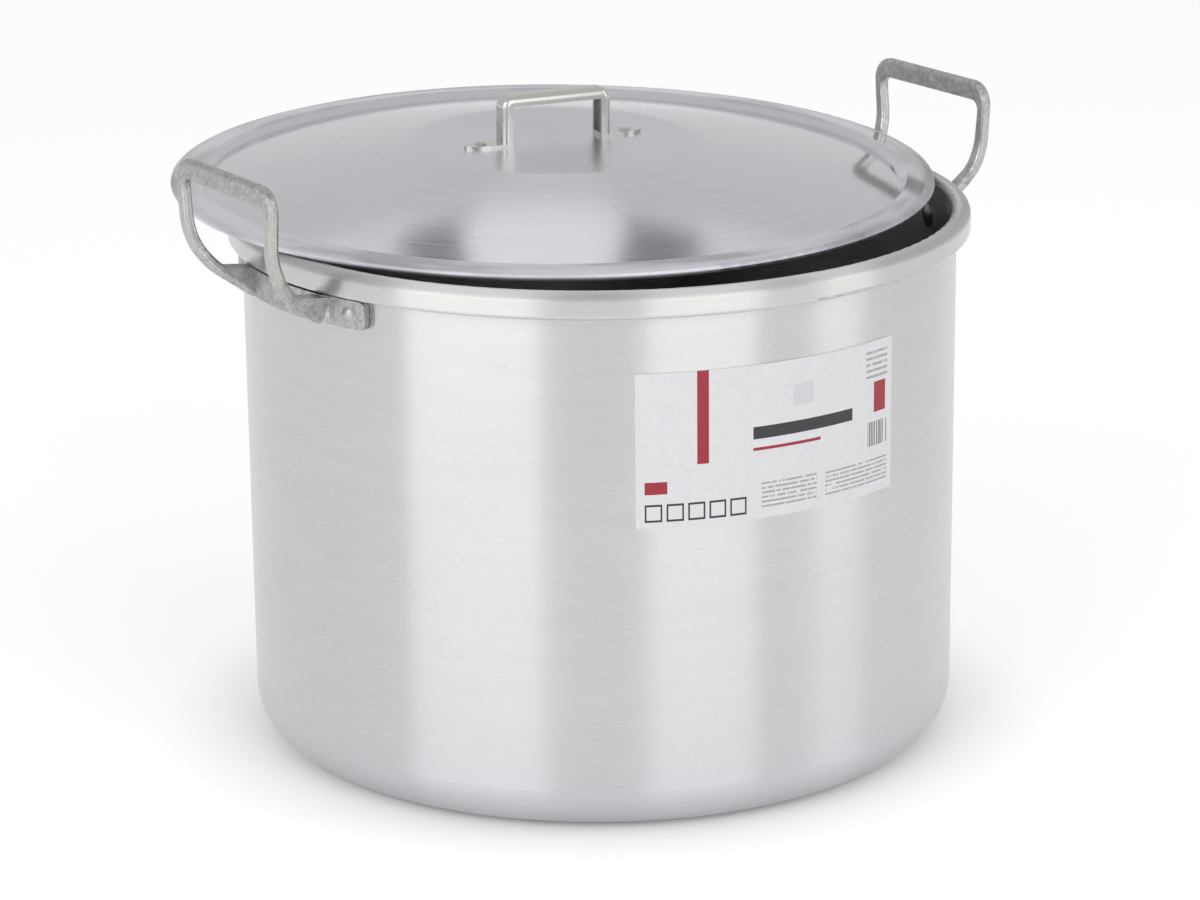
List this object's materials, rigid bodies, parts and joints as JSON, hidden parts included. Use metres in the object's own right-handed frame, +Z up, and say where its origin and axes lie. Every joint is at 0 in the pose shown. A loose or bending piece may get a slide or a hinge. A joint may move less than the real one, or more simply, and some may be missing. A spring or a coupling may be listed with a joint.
{
  "type": "stock pot",
  "caption": "Deep round aluminium stock pot with riveted cast loop handles and a loose shallow domed lid with a strip handle, lying askew on the rim.",
  "frame": {"origin": "centre of the pot's flat base, on the surface that it stands on", "axes": "+Z up along the pot's axis, X through the two pot handles, Y across them; the lid is set back towards +Y"},
  "size_m": [0.457, 0.4579, 0.3428],
  "materials": {
    "pot_aluminium": "brushed round the wall by spinning, satin, slightly clouded towards the base",
    "cast_handle": "rough cast, matte and mottled, tumbled smoother on the edges",
    "handle_rivet": "solid rivet, hammered dome",
    "lid_aluminium": "spun, with fine concentric turning lines",
    "lid_strip": "rolled strip, lightly polished",
    "lid_rivet": "small solid rivet, satin",
    "label_paper": "white coated paper sticker"
  },
  "bodies": {
    "pot": {"pot_body": "pot_aluminium", "right_handle": "cast_handle", "left_handle": "cast_handle", "right_handle_rivet_front": "handle_rivet", "right_handle_rivet_middle": "handle_rivet", "right_handle_rivet_back": "handle_rivet", "left_handle_rivet_front": "handle_rivet", "left_handle_rivet_middle": "handle_rivet", "left_handle_rivet_back": "handle_rivet", "label": "label_paper"},
    "lid": {"lid_shell": "lid_aluminium", "lid_handle": "lid_strip", "lid_rivet_left": "lid_rivet", "lid_rivet_right": "lid_rivet"}
  },
  "joints": [
    {"name": "lid_lift", "type": "slide", "parent": "pot", "child": "lid", "axis": [0, 0, 1], "range_m": [0, 0.25]}
  ]
}
